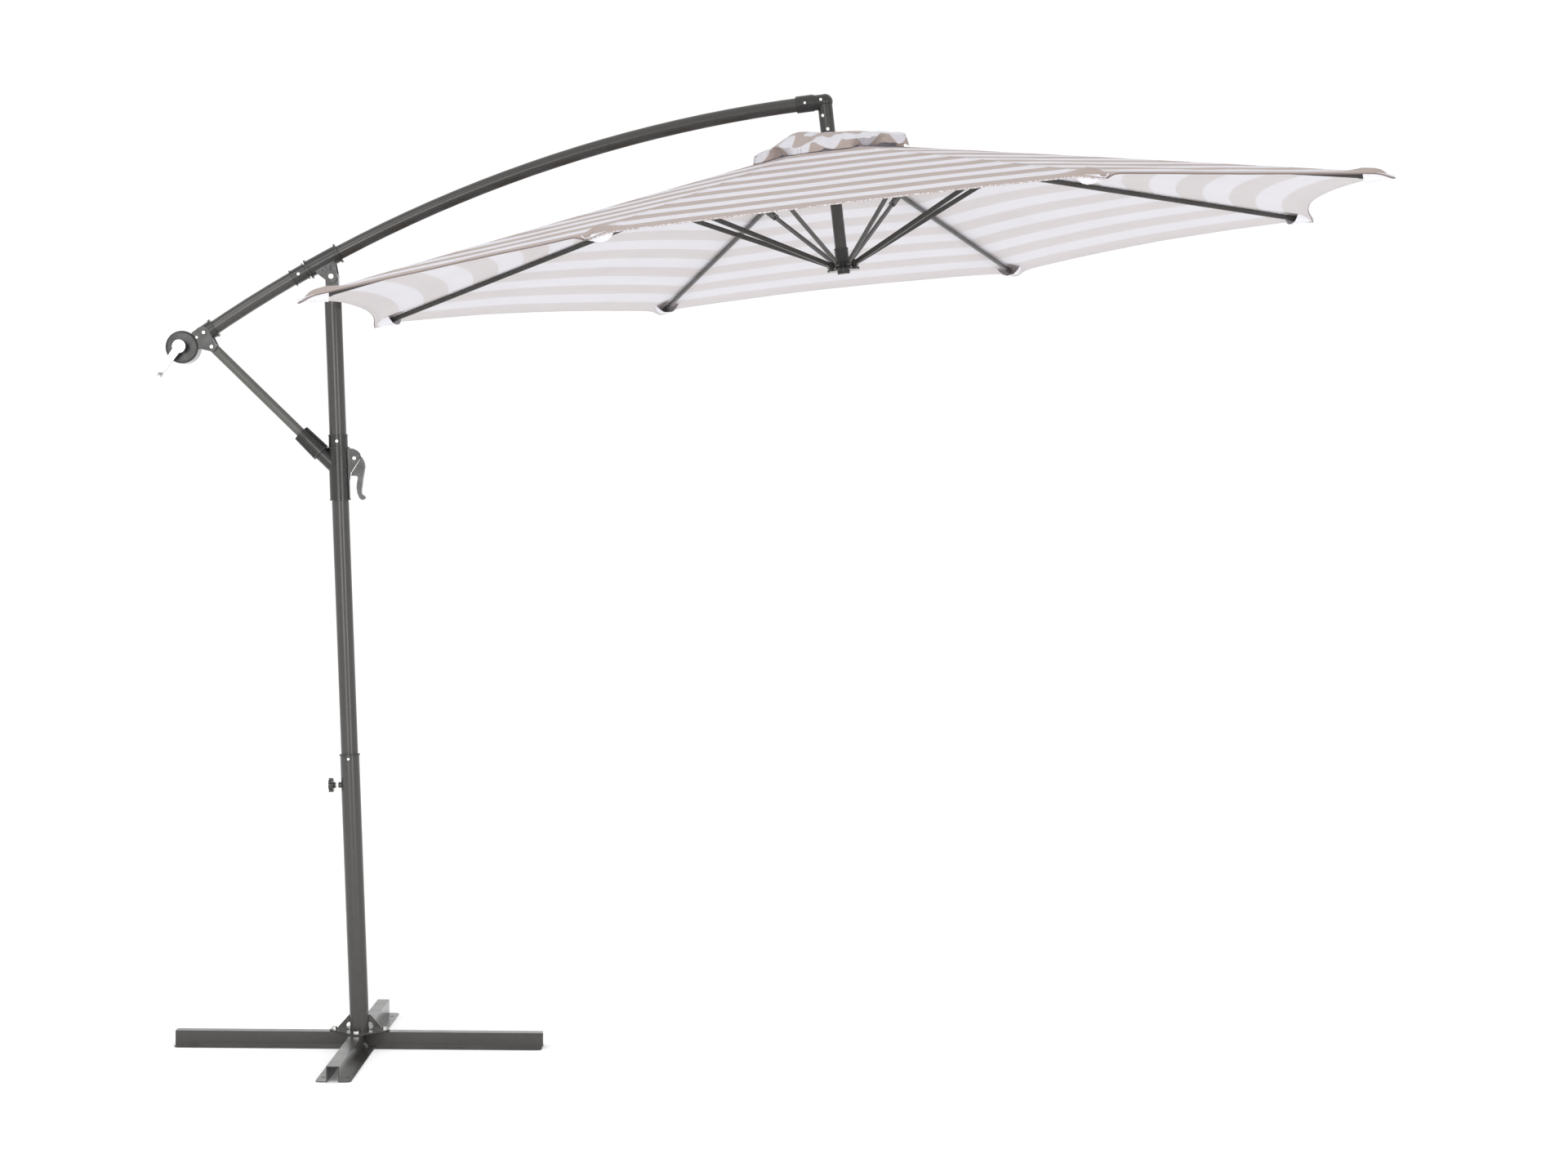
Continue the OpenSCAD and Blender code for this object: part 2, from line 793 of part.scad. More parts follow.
// Round front cover of the drum case
module crank_cover() {
  color(plastic_dark)
    translate(crank_axis)
      difference() {
        union() {
          bar_y(cover_r, case_y[0] - cover_t + cover_round, case_y[0] - 0.1);
          bar_y(cover_r - cover_round, case_y[0] - cover_t, case_y[0] - 0.1);
          translate([0, case_y[0] - cover_t + cover_round, 0])
            rotate([90, 0, 0])
              rotate_extrude() translate([cover_r - cover_round, 0]) circle(r = cover_round, $fn = 48);
          bar_y(14, case_y[0] - cover_t - 5, case_y[0] - 0.1);
        }
        bar_y(cover_r - cover_round - 1, case_y[0] - cover_t + 4, case_y[0] + 1);
        bar_y(shaft_r + 0.3, -80, 80);
      }
}

// Shaft with the rope drum
module crank_shaft() {
  color(zinc)
    translate(crank_axis) {
      bar_y(shaft_r, -52, case_y[1] - 3);
      bar_y(20, case_y[0] + 4, case_y[1] - 8);
      bar_y(34, case_y[0] + 2, case_y[0] + 4.5);
      bar_y(34, case_y[1] - 8, case_y[1] - 5.5);
    }
}

// Chrome crank: round boss, two-ridged arm and a slim grip that points forward
module crank_handle() {
  color(chrome)
    translate(crank_axis)
      difference() {
        union() {
          bar_y(17.5, -66, -36);
          rotate([0, -crank_angle, 0]) {
            for (side = [-1, 1])
              hull() {
                translate([8, 0, side * 6.5]) bar_y(4, -62, -52);
                translate([crank_throw, 0, side * 3]) bar_y(3.5, -62, -52);
              }
            hull() {
              translate([8, 0, 0]) bar_y(8, -58, -54);
              translate([crank_throw, 0, 0]) bar_y(5, -58, -54);
            }
            translate([crank_throw, 0, 0]) bar_y(8.5, -70, -50);
            translate([crank_throw, 0, 0]) bar_y(6.5, -110, -69);
            translate([crank_throw, 0, 0]) bar_y(8, -116, -108);
          }
        }
        bar_y(shaft_r + 0.05, -53, 0);
      }
}

// Brace with a flattened eye at its top
module brace_tube() {
  eye_r = 12;
  eye_w = 11;
  flat_l = 24;
  start = boot_start + 14;
  color(steel_grey)
    difference() {
      on_brace_frame() {
        difference() {
          translate([0, 0, start]) cylinder(r = brace_r, h = brace_l - start);
          translate([0, 0, start - 1]) cylinder(r = brace_r - 1.4, h = brace_l - start - flat_l - 6);
          for (side = [-1, 1])
            translate([-20, side > 0 ? eye_w : -eye_w - 20, brace_l - flat_l]) cube([40, 20, flat_l + 20]);
        }
        translate([0, 0, brace_l]) bar_y(eye_r, -eye_w, eye_w);
      }
      translate(brace_pin) bar_y(3.6, -40, 40);
    }
}

// ---------------------------------------------------------------- canopy frame

module pole() {
  color(steel_grey)
    on_canopy_frame()
      translate([0, 0, -collar_depth + 0.5]) tube(pole_r, 1.5, collar_depth - 0.5 + fitting_end_z + 24);
}

// Crown: a slotted disc on the pole that holds the rib roots
module crown() {
  slot_w = 13;
  color(plastic_dark)
    on_canopy_frame()
      difference() {
        union() {
          translate([0, 0, crown_pin_z - 12]) cylinder(r = 56, h = 24);
          translate([0, 0, crown_pin_z - 22]) cylinder(r = 24, h = 12);
        }
        translate([0, 0, crown_pin_z - 30]) cylinder(r = pole_r + 0.05, h = 60);
        for (k = [1:8])
          rotate([0, 0, 45 * k - 22.5]) {
            translate([32, -slot_w / 2, crown_pin_z - 20]) cube([40, slot_w, 40]);
            translate([crown_pin_r, 0, crown_pin_z]) bar_y(2.05, -11.2, 11.2);
          }
      }
}

module crown_pins() {
  color(zinc)
    on_canopy_frame()
      for (k = [1:8])
        rotate([0, 0, 45 * k - 22.5]) translate([crown_pin_r, 0, crown_pin_z]) bar_y(2, -11, 11);
}

// Shallow octagonal cap with a short hem
module vent_cap() {
  peak_z = 25;
  rim_z = -4;
  hem = 24;
  color(fabric_white)
    on_canopy_frame()
      rotate([0, 0, 22.5])
        difference() {
          union() {
            translate([0, 0, rim_z]) cylinder(r1 = cap_r, r2 = pole_r + 4, h = peak_z - rim_z, $fn = 8);
            translate([0, 0, rim_z - hem]) cylinder(r = cap_r, h = hem + 0.01, $fn = 8);
          }
          translate([0, 0, rim_z - fabric_t]) cylinder(r1 = cap_r - fabric_t, r2 = pole_r + 4, h = peak_z - rim_z, $fn = 8);
          translate([0, 0, rim_z - hem - 1]) cylinder(r = cap_r - fabric_t, h = hem + 1 - fabric_t + 0.01, $fn = 8);
          translate([0, 0, -50]) cylinder(r = pole_r + 0.6, h = 100);
        }
}

// Hub: collar under the pole and a lobed dish under the strut feet
module hub() {
  color(plastic_dark)
    on_canopy_frame() {
      dish_z = -foot_depth - knuckle_r - 7;
      difference() {
        union() {
          translate([0, 0, dish_z]) cylinder(r = 18.5, h = -collar_depth - dish_z);
          translate([0, 0, -collar_depth - 4]) cylinder(r = 19.6, h = 4);
          translate([0, 0, dish_z]) cylinder(r = 38, h = 5);
          for (k = [1:8])
            rotate([0, 0, 45 * k - 22.5]) translate([37, 0, dish_z]) cylinder(r = 9.5, h = 5, $fn = 32);
          translate([0, 0, dish_z - 9]) cylinder(r = 17, h = 10);
        }
        translate([0, 0, -collar_depth - 8]) cylinder(r = 12, h = 10);
      }
    }
}

// One rib: root knuckle, box tube and a plastic tip cap
module rib(k) {
  on_rib_frame(k) {
    color(steel_grey)
      difference() {
        union() {
          translate([0, 0, rib_lift]) {
            box_bar(rib_w, rib_h, 1.1, 20, rib_l - 3);
            box_bar(rib_w - 2.6, rib_h - 2.6, 0, 12, 40, 1.5);
          }
          bar_y(7.5, -4.5, 4.5);
          translate([0, -4.5, -6]) cube([16, 9, 12]);
        }
        bar_y(2.15, -10, 10);
        translate([strut_pin_x, 0, strut_pin_z]) bar_y(strut_bolt_r + 0.1, -10, 10);
      }
    color(plastic_dark)
      translate([0, 0, rib_lift])
        difference() {
          box_bar(rib_w + 2.6, rib_h + 2.6, 0, rib_l - 26, rib_l + 4, 3);
          box_bar(rib_w + 0.2, rib_h + 0.2, 0, rib_l - 27, rib_l - 2.9);
        }
  }
}

// One strut: fork and pin on the rib, box tube, knuckle over the hub's dish
module strut(k) {
  color(steel_grey)
    on_rib_frame(k)
      translate([strut_pin_x, 0, strut_pin_z])
        rotate([0, 180 - rib_slope - strut_slope, 0]) {
          for (side = [-1, 1])
            translate([0, side > 0 ? rib_w / 2 + 2.6 : -rib_w / 2 - 0.5, 0])
              rotate([90, 0, 0])
                linear_extrude(height = 2.1) {
                  circle(r = strut_h / 2, $fn = 32);
                  translate([0, -strut_h / 2]) square([fork_l + 14, strut_h]);
                }
          bar_y(strut_bolt_r, -rib_w / 2 - 3.6, rib_w / 2 + 3.6);
          box_bar(strut_w + 1.02, strut_h, 0, fork_l, fork_l + 12);
          box_bar(strut_w, strut_h, 1.1, fork_l + 10, strut_l - 14);
          translate([strut_l - 24, -3.5, -6]) cube([24, 7, 12]);
          translate([strut_l, 0, 0]) bar_y(knuckle_r, -6, 6);
        }
}

// Points of one canopy section in its own frame: x outward, y sideways.
// It runs from the middle of one panel over the rib to the middle of the next.
rim_steps = 6;
half_panel = 22.5;
function rim_point(s) =
  let (corner = [canopy_r, 0])
  let (mid = [canopy_r * cos(half_panel) * cos(half_panel), canopy_r * cos(half_panel) * sin(half_panel)])
  let (straight = corner + s * (mid - corner))
  let (pull = rim_scallop * (1 - (1 - s) * (1 - s)))
  straight - pull * [cos(half_panel), sin(half_panel)];
// Depth below the peak of the flat panel through (x, y)
function panel_depth(x, y) =
  (x * cos(half_panel) + abs(y) * sin(half_panel)) / cos(half_panel) * tan(rib_slope);
function top_point(x, y) = [x, y, -panel_depth(x, y)];
inset = 0.4;
function inner_point(side) =
  let (r = vent_r * cos(half_panel))
  [r * cos(half_panel) + inset * sin(half_panel), side * (r * sin(half_panel) - inset * cos(half_panel))];
function section_ring() = concat(
  [[vent_r, 0]],
  [inner_point(1)],
  [for (i = [rim_steps:-1:0])
    let (p = rim_point(i / rim_steps))
    i == rim_steps ? p + inset * [sin(half_panel), -cos(half_panel)] : p],
  [for (i = [1:rim_steps])
    let (p = rim_point(i / rim_steps))
    let (q = i == rim_steps ? p + inset * [sin(half_panel), -cos(half_panel)] : p)
    [q[0], -q[1]]],
  [inner_point(-1)]
);

module canopy_section(k) {
  ring = section_ring();
  n = len(ring);
  top = [for (p = ring) top_point(p[0], p[1])];
  low = [for (p = top) p - [0, 0, fabric_t / cos(rib_slope)]];
  half = rim_steps + 2;
  color(fabric_white)
    on_canopy_frame()
      rotate([0, 0, 45 * k - 22.5])
        polyhedron(
          points = concat(top, low),
          faces = concat(
            [for (i = [1:half - 1]) [0, i + 1, i]],
            [for (i = [half:n - 2]) [0, i + 1, i]],
            [for (i = [1:half - 1]) [n, n + i, n + i + 1]],
            [for (i = [half:n - 2]) [n, n + i, n + i + 1]],
            [for (i = [0:n - 1]) [i, (i + 1) % n, n + (i + 1) % n]],
            [for (i = [0:n - 1]) [i, n + (i + 1) % n, n + i]]
          ),
          convexity = 4
        );
}

module rib_1() { rib(1); }
module rib_2() { rib(2); }
module rib_3() { rib(3); }
module rib_4() { rib(4); }
module rib_5() { rib(5); }
module rib_6() { rib(6); }
module rib_7() { rib(7); }
module rib_8() { rib(8); }
module strut_1() { strut(1); }
module strut_2() { strut(2); }
module strut_3() { strut(3); }
module strut_4() { strut(4); }
module strut_5() { strut(5); }
module strut_6() { strut(6); }
module strut_7() { strut(7); }
module strut_8() { strut(8); }
module canopy_1() { canopy_section(1); }
module canopy_2() { canopy_section(2); }
module canopy_3() { canopy_section(3); }
module canopy_4() { canopy_section(4); }
module canopy_5() { canopy_section(5); }
module canopy_6() { canopy_section(6); }
module canopy_7() { canopy_section(7); }
module canopy_8() { canopy_section(8); }

base_long();
base_left();
base_right();
base_plate();
base_fasteners();
lower_tube();
lower_bush();
clamp_knob();
clamp_screw();
upper_mast();
mast_foot();
mast_head();
sleeve_pin();
carriage();
brace_boot();
carriage_pins();
brake_lever();
arm_sleeve();
arm_tube();
stop_ring();
arm_fasteners();
elbow();
crank_bracket();
crank_case();
crank_cover();
crank_shaft();
crank_handle();
brace_tube();
pole_fitting();
pole_bolt();
pole();
crown();
crown_pins();
vent_cap();
hub();
rib_1();
rib_2();
rib_3();
rib_4();
rib_5();
rib_6();
rib_7();
rib_8();
strut_1();
strut_2();
strut_3();
strut_4();
strut_5();
strut_6();
strut_7();
strut_8();
canopy_1();
canopy_2();
canopy_3();
canopy_4();
canopy_5();
canopy_6();
canopy_7();
canopy_8();
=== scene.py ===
"""Looks for the cantilever parasol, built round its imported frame.

Metres, in the part's own frame: origin at the middle of the base on the
ground, +X towards the canopy, +Z up. The canopy has its own frame as well:
origin at the peak of the cover, +Z up the pole, +X away from the mast.
"""

import json
import math

import bpy
from mathutils import Matrix, Vector, noise


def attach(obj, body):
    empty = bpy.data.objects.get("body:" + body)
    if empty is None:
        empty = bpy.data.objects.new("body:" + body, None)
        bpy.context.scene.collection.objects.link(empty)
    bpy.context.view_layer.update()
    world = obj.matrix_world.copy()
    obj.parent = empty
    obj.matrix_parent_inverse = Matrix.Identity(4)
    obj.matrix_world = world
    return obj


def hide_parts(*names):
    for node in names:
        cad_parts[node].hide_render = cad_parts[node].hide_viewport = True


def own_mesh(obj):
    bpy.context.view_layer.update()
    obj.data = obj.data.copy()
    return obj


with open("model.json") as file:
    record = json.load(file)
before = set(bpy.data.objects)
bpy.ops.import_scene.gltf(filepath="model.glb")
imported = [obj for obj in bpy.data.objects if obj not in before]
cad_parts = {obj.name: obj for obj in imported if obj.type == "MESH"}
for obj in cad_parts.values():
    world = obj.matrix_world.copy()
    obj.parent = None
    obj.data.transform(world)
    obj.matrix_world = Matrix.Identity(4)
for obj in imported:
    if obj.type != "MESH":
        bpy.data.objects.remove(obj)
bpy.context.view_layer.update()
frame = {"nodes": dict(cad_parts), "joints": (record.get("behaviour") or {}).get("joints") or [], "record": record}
NODES = frame["nodes"]
JOINTS = {joint["name"]: joint for joint in frame["joints"]}

# ------------------------------------------------------------ canopy frame

RIBS = range(1, 9)
# Half the angle between two ribs
HALF = math.radians(22.5)
# Fall of a rib when the canopy is open
RIB_SLOPE = math.radians(11.5)
# Reach of the cover's corners from the pole
CORNER_R = 1.5
# Length of a panel from the peak to the middle of its rim
SLANT = CORNER_R * math.cos(HALF) / math.cos(math.atan(math.tan(RIB_SLOPE) / math.cos(HALF)))
# Depth of the ribs' hinge pins below the cover's peak
ROOT_DEPTH = 0.0214
# Width of one stripe
STRIPE = 0.0805
# Thickness of the cover, and of the cloth in the cap and the pockets
CLOTH = 0.0014
THIN_CLOTH = 0.0012
# Size of the vent as a share of the cover
VENT = 0.1
# Share of its width that a section would keep when the canopy is closed; the sections are not narrowed as it folds
CLOSED_WIDTH = 0.2


def rib_joint(k):
    """The joint that folds rib k."""
    return JOINTS["canopy_fold" if k == 1 else f"rib_{k}_fold"]


ROOTS = {k: Vector(rib_joint(k)["pos_m"]) for k in RIBS}
ROOT_CENTRE = sum(ROOTS.values(), Vector()) / len(ROOTS)
OUT = {k: (ROOTS[k] - ROOT_CENTRE).normalized() for k in RIBS}
POLE_UP = OUT[1].cross(OUT[3]).normalized()
FORWARD = (OUT[1] + OUT[8]).normalized()
SIDE = POLE_UP.cross(FORWARD)
PEAK = ROOT_CENTRE + ROOT_DEPTH * POLE_UP
CANOPY = Matrix((FORWARD, SIDE, POLE_UP)).transposed().to_4x4()
CANOPY.translation = PEAK

# Inward curve of each panel's rim; panel k lies between ribs k and k + 1
SCALLOP = {1: 0.062, 2: 0.06, 3: 0.06, 4: 0.058, 5: 0.058, 6: 0.056, 7: 0.06, 8: 0.084}
SAG = 0.004
LONG_WAVE = 0.003
SHORT_WAVE = 0.0014

# Reach of each cover corner from the pole
CORNERS = {1: 1.5, 2: 1.505, 3: 1.483, 4: 1.48, 5: 1.503, 6: 1.54, 7: 1.5, 8: 1.505}

# Hood that the pocket lifts at each corner; where it rises and falls is
# measured back from the corner, and past it the tip droops
HOOD_RISE = 0.0095
HOOD_HALF = 0.034
HOOD_START = (0.115, 0.07)
HOOD_END = (0.045, 0.008)
TIP_DROOP = 0.012
TIP_LENGTH = 0.03


def azimuth(k):
    """Direction of rib k round the pole."""
    return math.radians(45 * k - 22.5)


def wave(x, y, z):
    """Smooth repeatable noise between -1 and 1."""
    return noise.noise(Vector((x, y, z)))


def ramp(value, low, high):
    """Smooth step from 0 at low to 1 at high."""
    share = min(1.0, max(0.0, (value - low) / (high - low)))
    return share * share * (3 - 2 * share)


def level(angle):
    """Unit direction in the canopy's plane."""
    return Vector((math.cos(angle), math.sin(angle), 0))


def cover_point(panel, rho, t):
    """Point of the cover in the canopy frame: rho 0 at the peak and 1 at the
    rim, t -1 at the panel's first rib and 1 at its second."""
    panel = (panel - 1) % 8 + 1
    after = panel % 8 + 1
    middle = level(math.radians(45 * panel))
    rim = level(azimuth(panel)) * (CORNERS[panel] * (1 - t) / 2)
    rim += level(azimuth(after)) * (CORNERS[after] * (1 + t) / 2)
    point = rho * (rim - SCALLOP[panel] * (1 - t * t) * middle)
    slack = 1 - t * t
    z = -point.dot(middle) * math.tan(RIB_SLOPE) / math.cos(HALF)
    z -= SAG * slack * rho ** 1.5
    z += LONG_WAVE * slack * rho * wave(2.1 * point.x, 2.1 * point.y, 3.7 * panel)
    z += SHORT_WAVE * min(1, 3 * slack) * wave(5 * point.x + 9, 5 * point.y, panel) * min(1, 4 * rho)
    reach = CORNERS[panel if t < 0 else after]
    aside = (1 - abs(t)) * CORNER_R * math.sin(HALF) * rho
    near = math.exp(-((aside / HOOD_HALF) ** 2))
    out = rho * reach
    hood = HOOD_RISE * near * ramp(out, reach - HOOD_START[0], reach - HOOD_START[1])
    z += hood * (1 - ramp(out, reach - HOOD_END[0], reach - HOOD_END[1]))
    z -= TIP_DROOP * near * ramp(out, reach - TIP_LENGTH, reach)
    return Vector((point.x, point.y, z))


# ------------------------------------------------------------ materials


def new_material(name):
    """A material with a Principled shader; returns it, its tree and shader."""
    material = bpy.data.materials.new(name)
    material.use_nodes = True
    tree = material.node_tree
    return material, tree, tree.nodes["Principled BSDF"]


def add(tree, kind, **values):
    """Adds a node, sets its attributes, and its inputs given by number as i0, i1."""
    node = tree.nodes.new(kind)
    for key, value in values.items():
        if key[0] == "i" and key[1:].isdigit():
            node.inputs[int(key[1:])].default_value = value
        else:
            setattr(node, key, value)
    return node


def noise_node(tree, vector, scale, detail=3.0, rough=0.5):
    """Noise on the given coordinates."""
    node = add(tree, "ShaderNodeTexNoise")
    node.inputs["Scale"].default_value = scale
    node.inputs["Detail"].default_value = detail
    node.inputs["Roughness"].default_value = rough
    tree.links.new(vector, node.inputs["Vector"])
    return node.outputs["Fac"]


def remap(tree, value, low, high, to_low, to_high):
    """Value stretched from low..high to to_low..to_high, clamped."""
    node = add(tree, "ShaderNodeMapRange")
    names = ("From Min", "From Max", "To Min", "To Max")
    for name, number in zip(names, (low, high, to_low, to_high)):
        node.inputs[name].default_value = number
    tree.links.new(value, node.inputs["Value"])
    return node.outputs["Result"]


def maths(tree, operation, *values):
    """One Math node; each value is a number or a socket."""
    node = add(tree, "ShaderNodeMath", operation=operation)
    for i, value in enumerate(values):
        if isinstance(value, (int, float)):
            node.inputs[i].default_value = value
        else:
            tree.links.new(value, node.inputs[i])
    return node.outputs[0]


def mix_colour(tree, share, first, second, blend="MIX"):
    """Mix of two colours or colour sockets."""
    node = add(tree, "ShaderNodeMix", data_type="RGBA", blend_type=blend)
    sockets = (node.inputs[0], node.inputs[6], node.inputs[7])
    for socket, value in zip(sockets, (share, first, second)):
        if isinstance(value, (int, float)):
            socket.default_value = value
        elif isinstance(value, tuple):
            socket.default_value = (*value, 1)
        else:
            tree.links.new(value, socket)
    return node.outputs[2]


def bump(tree, shader, height, strength, distance, below=None):
    """Adds a bump to the shader's normal, over another bump if given."""
    node = add(tree, "ShaderNodeBump")
    node.inputs["Strength"].default_value = strength
    node.inputs["Distance"].default_value = distance
    tree.links.new(height, node.inputs["Height"])
    if below:
        tree.links.new(below, node.inputs["Normal"])
    tree.links.new(node.outputs["Normal"], shader.inputs["Normal"])
    return node.outputs["Normal"]


def object_place(tree):
    """Coordinates fixed to the piece."""
    return add(tree, "ShaderNodeTexCoord").outputs["Object"]


def edge_share(tree, low, high):
    """Near 1 on worn outer edges and corners, 0 elsewhere."""
    return remap(tree, add(tree, "ShaderNodeNewGeometry").outputs["Pointiness"], low, high, 0, 1)


def powder_coat(name, base, rough):
    """Satin powder coat with fine orange peel, faint dust and rubbed edges."""
    material, tree, shader = new_material(name)
    place = object_place(tree)
    dust = remap(tree, noise_node(tree, place, 7, 4), 0.35, 0.7, 0, 0.3)
    fine = noise_node(tree, place, 900, 2)
    colour = mix_colour(tree, dust, base, tuple(min(1, 1.22 * c) for c in base))
    worn = maths(tree, "MULTIPLY", edge_share(tree, 0.53, 0.6), noise_node(tree, place, 60, 4))
    worn = maths(tree, "MULTIPLY", worn, 0.35)
    colour = mix_colour(tree, worn, colour, tuple(1.9 * c for c in base))
    tree.links.new(colour, shader.inputs["Base Color"])
    smudge = remap(tree, noise_node(tree, place, 15, 5, 0.6), 0.3, 0.7, rough - 0.05, rough + 0.07)
    tree.links.new(smudge, shader.inputs["Roughness"])
    shader.inputs["Specular IOR Level"].default_value = 0.5
    bump(tree, shader, fine, 0.05, 0.0003)
    return material


def moulded_plastic(name, base, rough):
    """Moulded nylon with a fine grain and paler worn edges."""
    material, tree, shader = new_material(name)
    place = object_place(tree)
    cloud = remap(tree, noise_node(tree, place, 22, 4), 0.3, 0.7, 0, 0.35)
    colour = mix_colour(tree, cloud, base, tuple(1.35 * c for c in base))
    worn = maths(tree, "MULTIPLY", edge_share(tree, 0.53, 0.62), 0.3)
    colour = mix_colour(tree, worn, colour, tuple(2.4 * c for c in base))
    tree.links.new(colour, shader.inputs["Base Color"])
    gloss = remap(tree, noise_node(tree, place, 45, 4), 0.3, 0.7, rough - 0.09, rough + 0.08)
    tree.links.new(gloss, shader.inputs["Roughness"])
    grain = add(tree, "ShaderNodeTexVoronoi", feature="SMOOTH_F1")
    grain.inputs["Scale"].default_value = 750
    tree.links.new(place, grain.inputs["Vector"])
    bump(tree, shader, grain.outputs["Distance"], 0.06, 0.0004)
    return material


# Grey painted onto plated metal where it turns from the camera: a painted dark reflection
PAINTED_DARK_REFLECTION = (0.12, 0.12, 0.125)


def plated_metal(name, base, rough, scratch):
    """Plated metal with fine scratches and soft tarnish, and a painted dark reflection that darkens it where it
    turns away from the camera.
    """
    material, tree, shader = new_material(name)
    place = object_place(tree)
    shader.inputs["Metallic"].default_value = 1
    dull = remap(tree, noise_node(tree, place, 40, 5), 0.4, 0.75, 0, 0.3)
    colour = mix_colour(tree, dull, base, tuple(0.75 * c for c in base))
    # Painted dark reflection: the colour darkens with the surface's angle to the camera
    facing = add(tree, "ShaderNodeLayerWeight", i0=0.35).outputs["Facing"]
    colour = mix_colour(tree, remap(tree, facing, 0.12, 0.7, 0, 0.85), colour, PAINTED_DARK_REFLECTION)
    tree.links.new(colour, shader.inputs["Base Color"])
    stretch = add(tree, "ShaderNodeMapping")
    stretch.inputs["Scale"].default_value = (900, 900, 60)
    tree.links.new(place, stretch.inputs["Vector"])
    lines = noise_node(tree, stretch.outputs["Vector"], 1, 4, 0.6)
    roughness = remap(tree, lines, 0.3, 0.75, rough, rough + scratch)
    tree.links.new(roughness, shader.inputs["Roughness"])
    bump(tree, shader, lines, 0.05, 0.0003)
    return material


# Sewing: half the width of a row of stitches, the length of one stitch, and
# how far the rows lie from the rim and from a rib's seam
STITCH_HALF = 0.0011
STITCH_PITCH = 0.0045
RIM_STITCH = 0.011
RIB_STITCH = 0.0045


def stitches(tree, along, offset, line):
    """Height of a row of stitches that runs where offset equals line."""
    away = maths(tree, "ABSOLUTE", maths(tree, "SUBTRACT", offset, line))
    near = maths(tree, "SUBTRACT", 1.0, maths(tree, "DIVIDE", away, STITCH_HALF))
    near = maths(tree, "MAXIMUM", near, 0.0)
    turn = maths(tree, "SINE", maths(tree, "MULTIPLY", along, math.tau / STITCH_PITCH))
    thread = maths(tree, "MAXIMUM", maths(tree, "MULTIPLY", turn, 1.6), 0.0)
    return maths(tree, "MULTIPLY", near, maths(tree, "MINIMUM", thread, 1.0))


def split_uv(tree, name):
    """A UV map, and its two coordinates apart."""
    uv = add(tree, "ShaderNodeUVMap", uv_map=name).outputs[0]
    parts = add(tree, "ShaderNodeSeparateXYZ")
    tree.links.new(uv, parts.inputs[0])
    return uv, parts.outputs[0], parts.outputs[1]


def in_band(tree, place, depth, first_band):
    """1 in the darker stripes and 0 in the pale ones, with faintly ragged edges."""
    ragged = maths(tree, "SUBTRACT", noise_node(tree, place, 240, 2), 0.5)
    ragged = maths(tree, "MULTIPLY", ragged, 0.0016)
    depth = maths(tree, "ADD", maths(tree, "ADD", depth, first_band), ragged)
    turn = maths(tree, "FRACT", maths(tree, "DIVIDE", depth, 2 * STRIPE))
    return maths(tree, "LESS_THAN", turn, 0.5)


def woven(tree, uv):
    """Height of the threads along and across the cloth."""
    heights = []
    for direction in "XY":
        threads = add(tree, "ShaderNodeTexWave", bands_direction=direction)
        threads.inputs["Scale"].default_value = 300
        threads.inputs["Distortion"].default_value = 0.6
        tree.links.new(uv, threads.inputs["Vector"])
        heights.append(threads.outputs["Fac"])
    return maths(tree, "MULTIPLY", *heights)


def sewn_lines(tree, from_rim, along_rim, along_rib, from_rib):
    """Height of the stitches along the rim and on both sides of a rib's seam."""
    rim_thread = stitches(tree, along_rim, from_rim, RIM_STITCH)
    rib_thread = stitches(tree, along_rib, maths(tree, "ABSOLUTE", from_rib), RIB_STITCH)
    return maths(tree, "MAXIMUM", rim_thread, rib_thread)


def let_light_through(tree, shader, colour, share):
    """Lets a share of the light through the cloth."""
    through = add(tree, "ShaderNodeBsdfTranslucent")
    tree.links.new(colour, through.inputs["Color"])
    blend = add(tree, "ShaderNodeMixShader", i0=share)
    tree.links.new(shader.outputs[0], blend.inputs[1])
    tree.links.new(through.outputs[0], blend.inputs[2])
    tree.links.new(blend.outputs[0], tree.nodes["Material Output"].inputs["Surface"])


def striped_cloth(name, pale, band, glow, first_band=0.0):
    """Woven polyester with stripes across, from the UV maps: 'cut' holds the
    distance from the rim and the place along it, 'seam' the distance along
    and from the nearest rib, all in metres."""
    material, tree, shader = new_material(name)
    uv, from_rim, along_rim = split_uv(tree, "cut")
    _, along_rib, from_rib = split_uv(tree, "seam")
    place = object_place(tree)
    colour = mix_colour(tree, in_band(tree, place, from_rim, first_band), pale, band)
    shade = remap(tree, noise_node(tree, place, 5, 4), 0.3, 0.7, 0, 0.07)
    colour = mix_colour(tree, shade, colour, (0.55, 0.52, 0.52), "MULTIPLY")
    weave = woven(tree, uv)
    gaps = maths(tree, "MULTIPLY", maths(tree, "SUBTRACT", 1.0, weave), 0.06)
    colour = mix_colour(tree, gaps, colour, (0.6, 0.58, 0.58), "MULTIPLY")
    thread = sewn_lines(tree, from_rim, along_rim, along_rib, from_rib)
    darker = maths(tree, "MULTIPLY", thread, 0.35)
    colour = mix_colour(tree, darker, colour, (0.5, 0.46, 0.45), "MULTIPLY")
    tree.links.new(colour, shader.inputs["Base Color"])
    shader.inputs["Roughness"].default_value = 0.78
    shader.inputs["Sheen Weight"].default_value = 0.15
    shader.inputs["Sheen Roughness"].default_value = 0.5
    soft = bump(tree, shader, noise_node(tree, place, 9, 3), 0.25, 0.006)
    fine = bump(tree, shader, weave, 0.18, 0.0005, soft)
    bump(tree, shader, thread, 0.8, 0.0012, fine)
    let_light_through(tree, shader, colour, glow)
    return material


